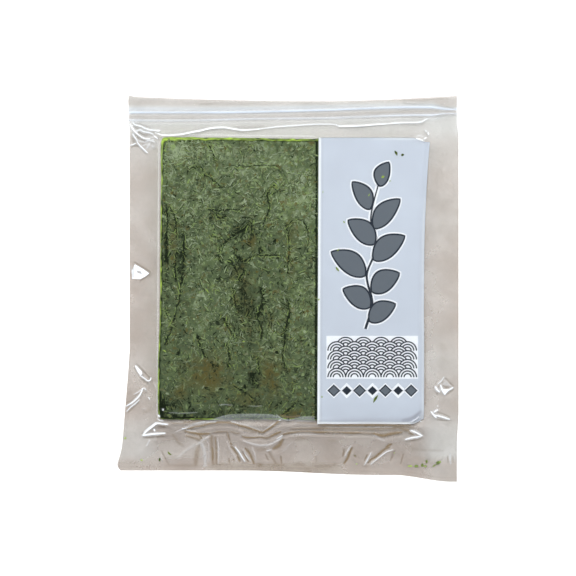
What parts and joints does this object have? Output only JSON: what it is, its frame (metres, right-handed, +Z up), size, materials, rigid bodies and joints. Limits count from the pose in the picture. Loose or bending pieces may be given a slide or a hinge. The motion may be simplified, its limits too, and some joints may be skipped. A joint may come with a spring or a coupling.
{
  "type": "pack of roasted nori sheets in a clear zip bag",
  "caption": "Clear zip bag lying flat and shut, holding a stack of roasted nori sheets with a paper label laid over the right part of the stack.",
  "frame": {"origin": "centre of the bag's footprint, on its underside", "axes": "+X across the bag, to the right of the picture; +Y towards the zip; +Z up out of the shown side"},
  "size_m": [0.2528, 0.2868, 0.0063],
  "materials": {
    "film": "clear, glossy, thin and creased",
    "zip": "clear, slightly milky, glossy ridges",
    "nori": "dark green, dull, fibrous",
    "paper": "smooth, cool white",
    "print": "dull dark ink"
  },
  "bodies": {
    "root": {"bag": "film", "zip": "zip"}
  },
  "joints": []
}
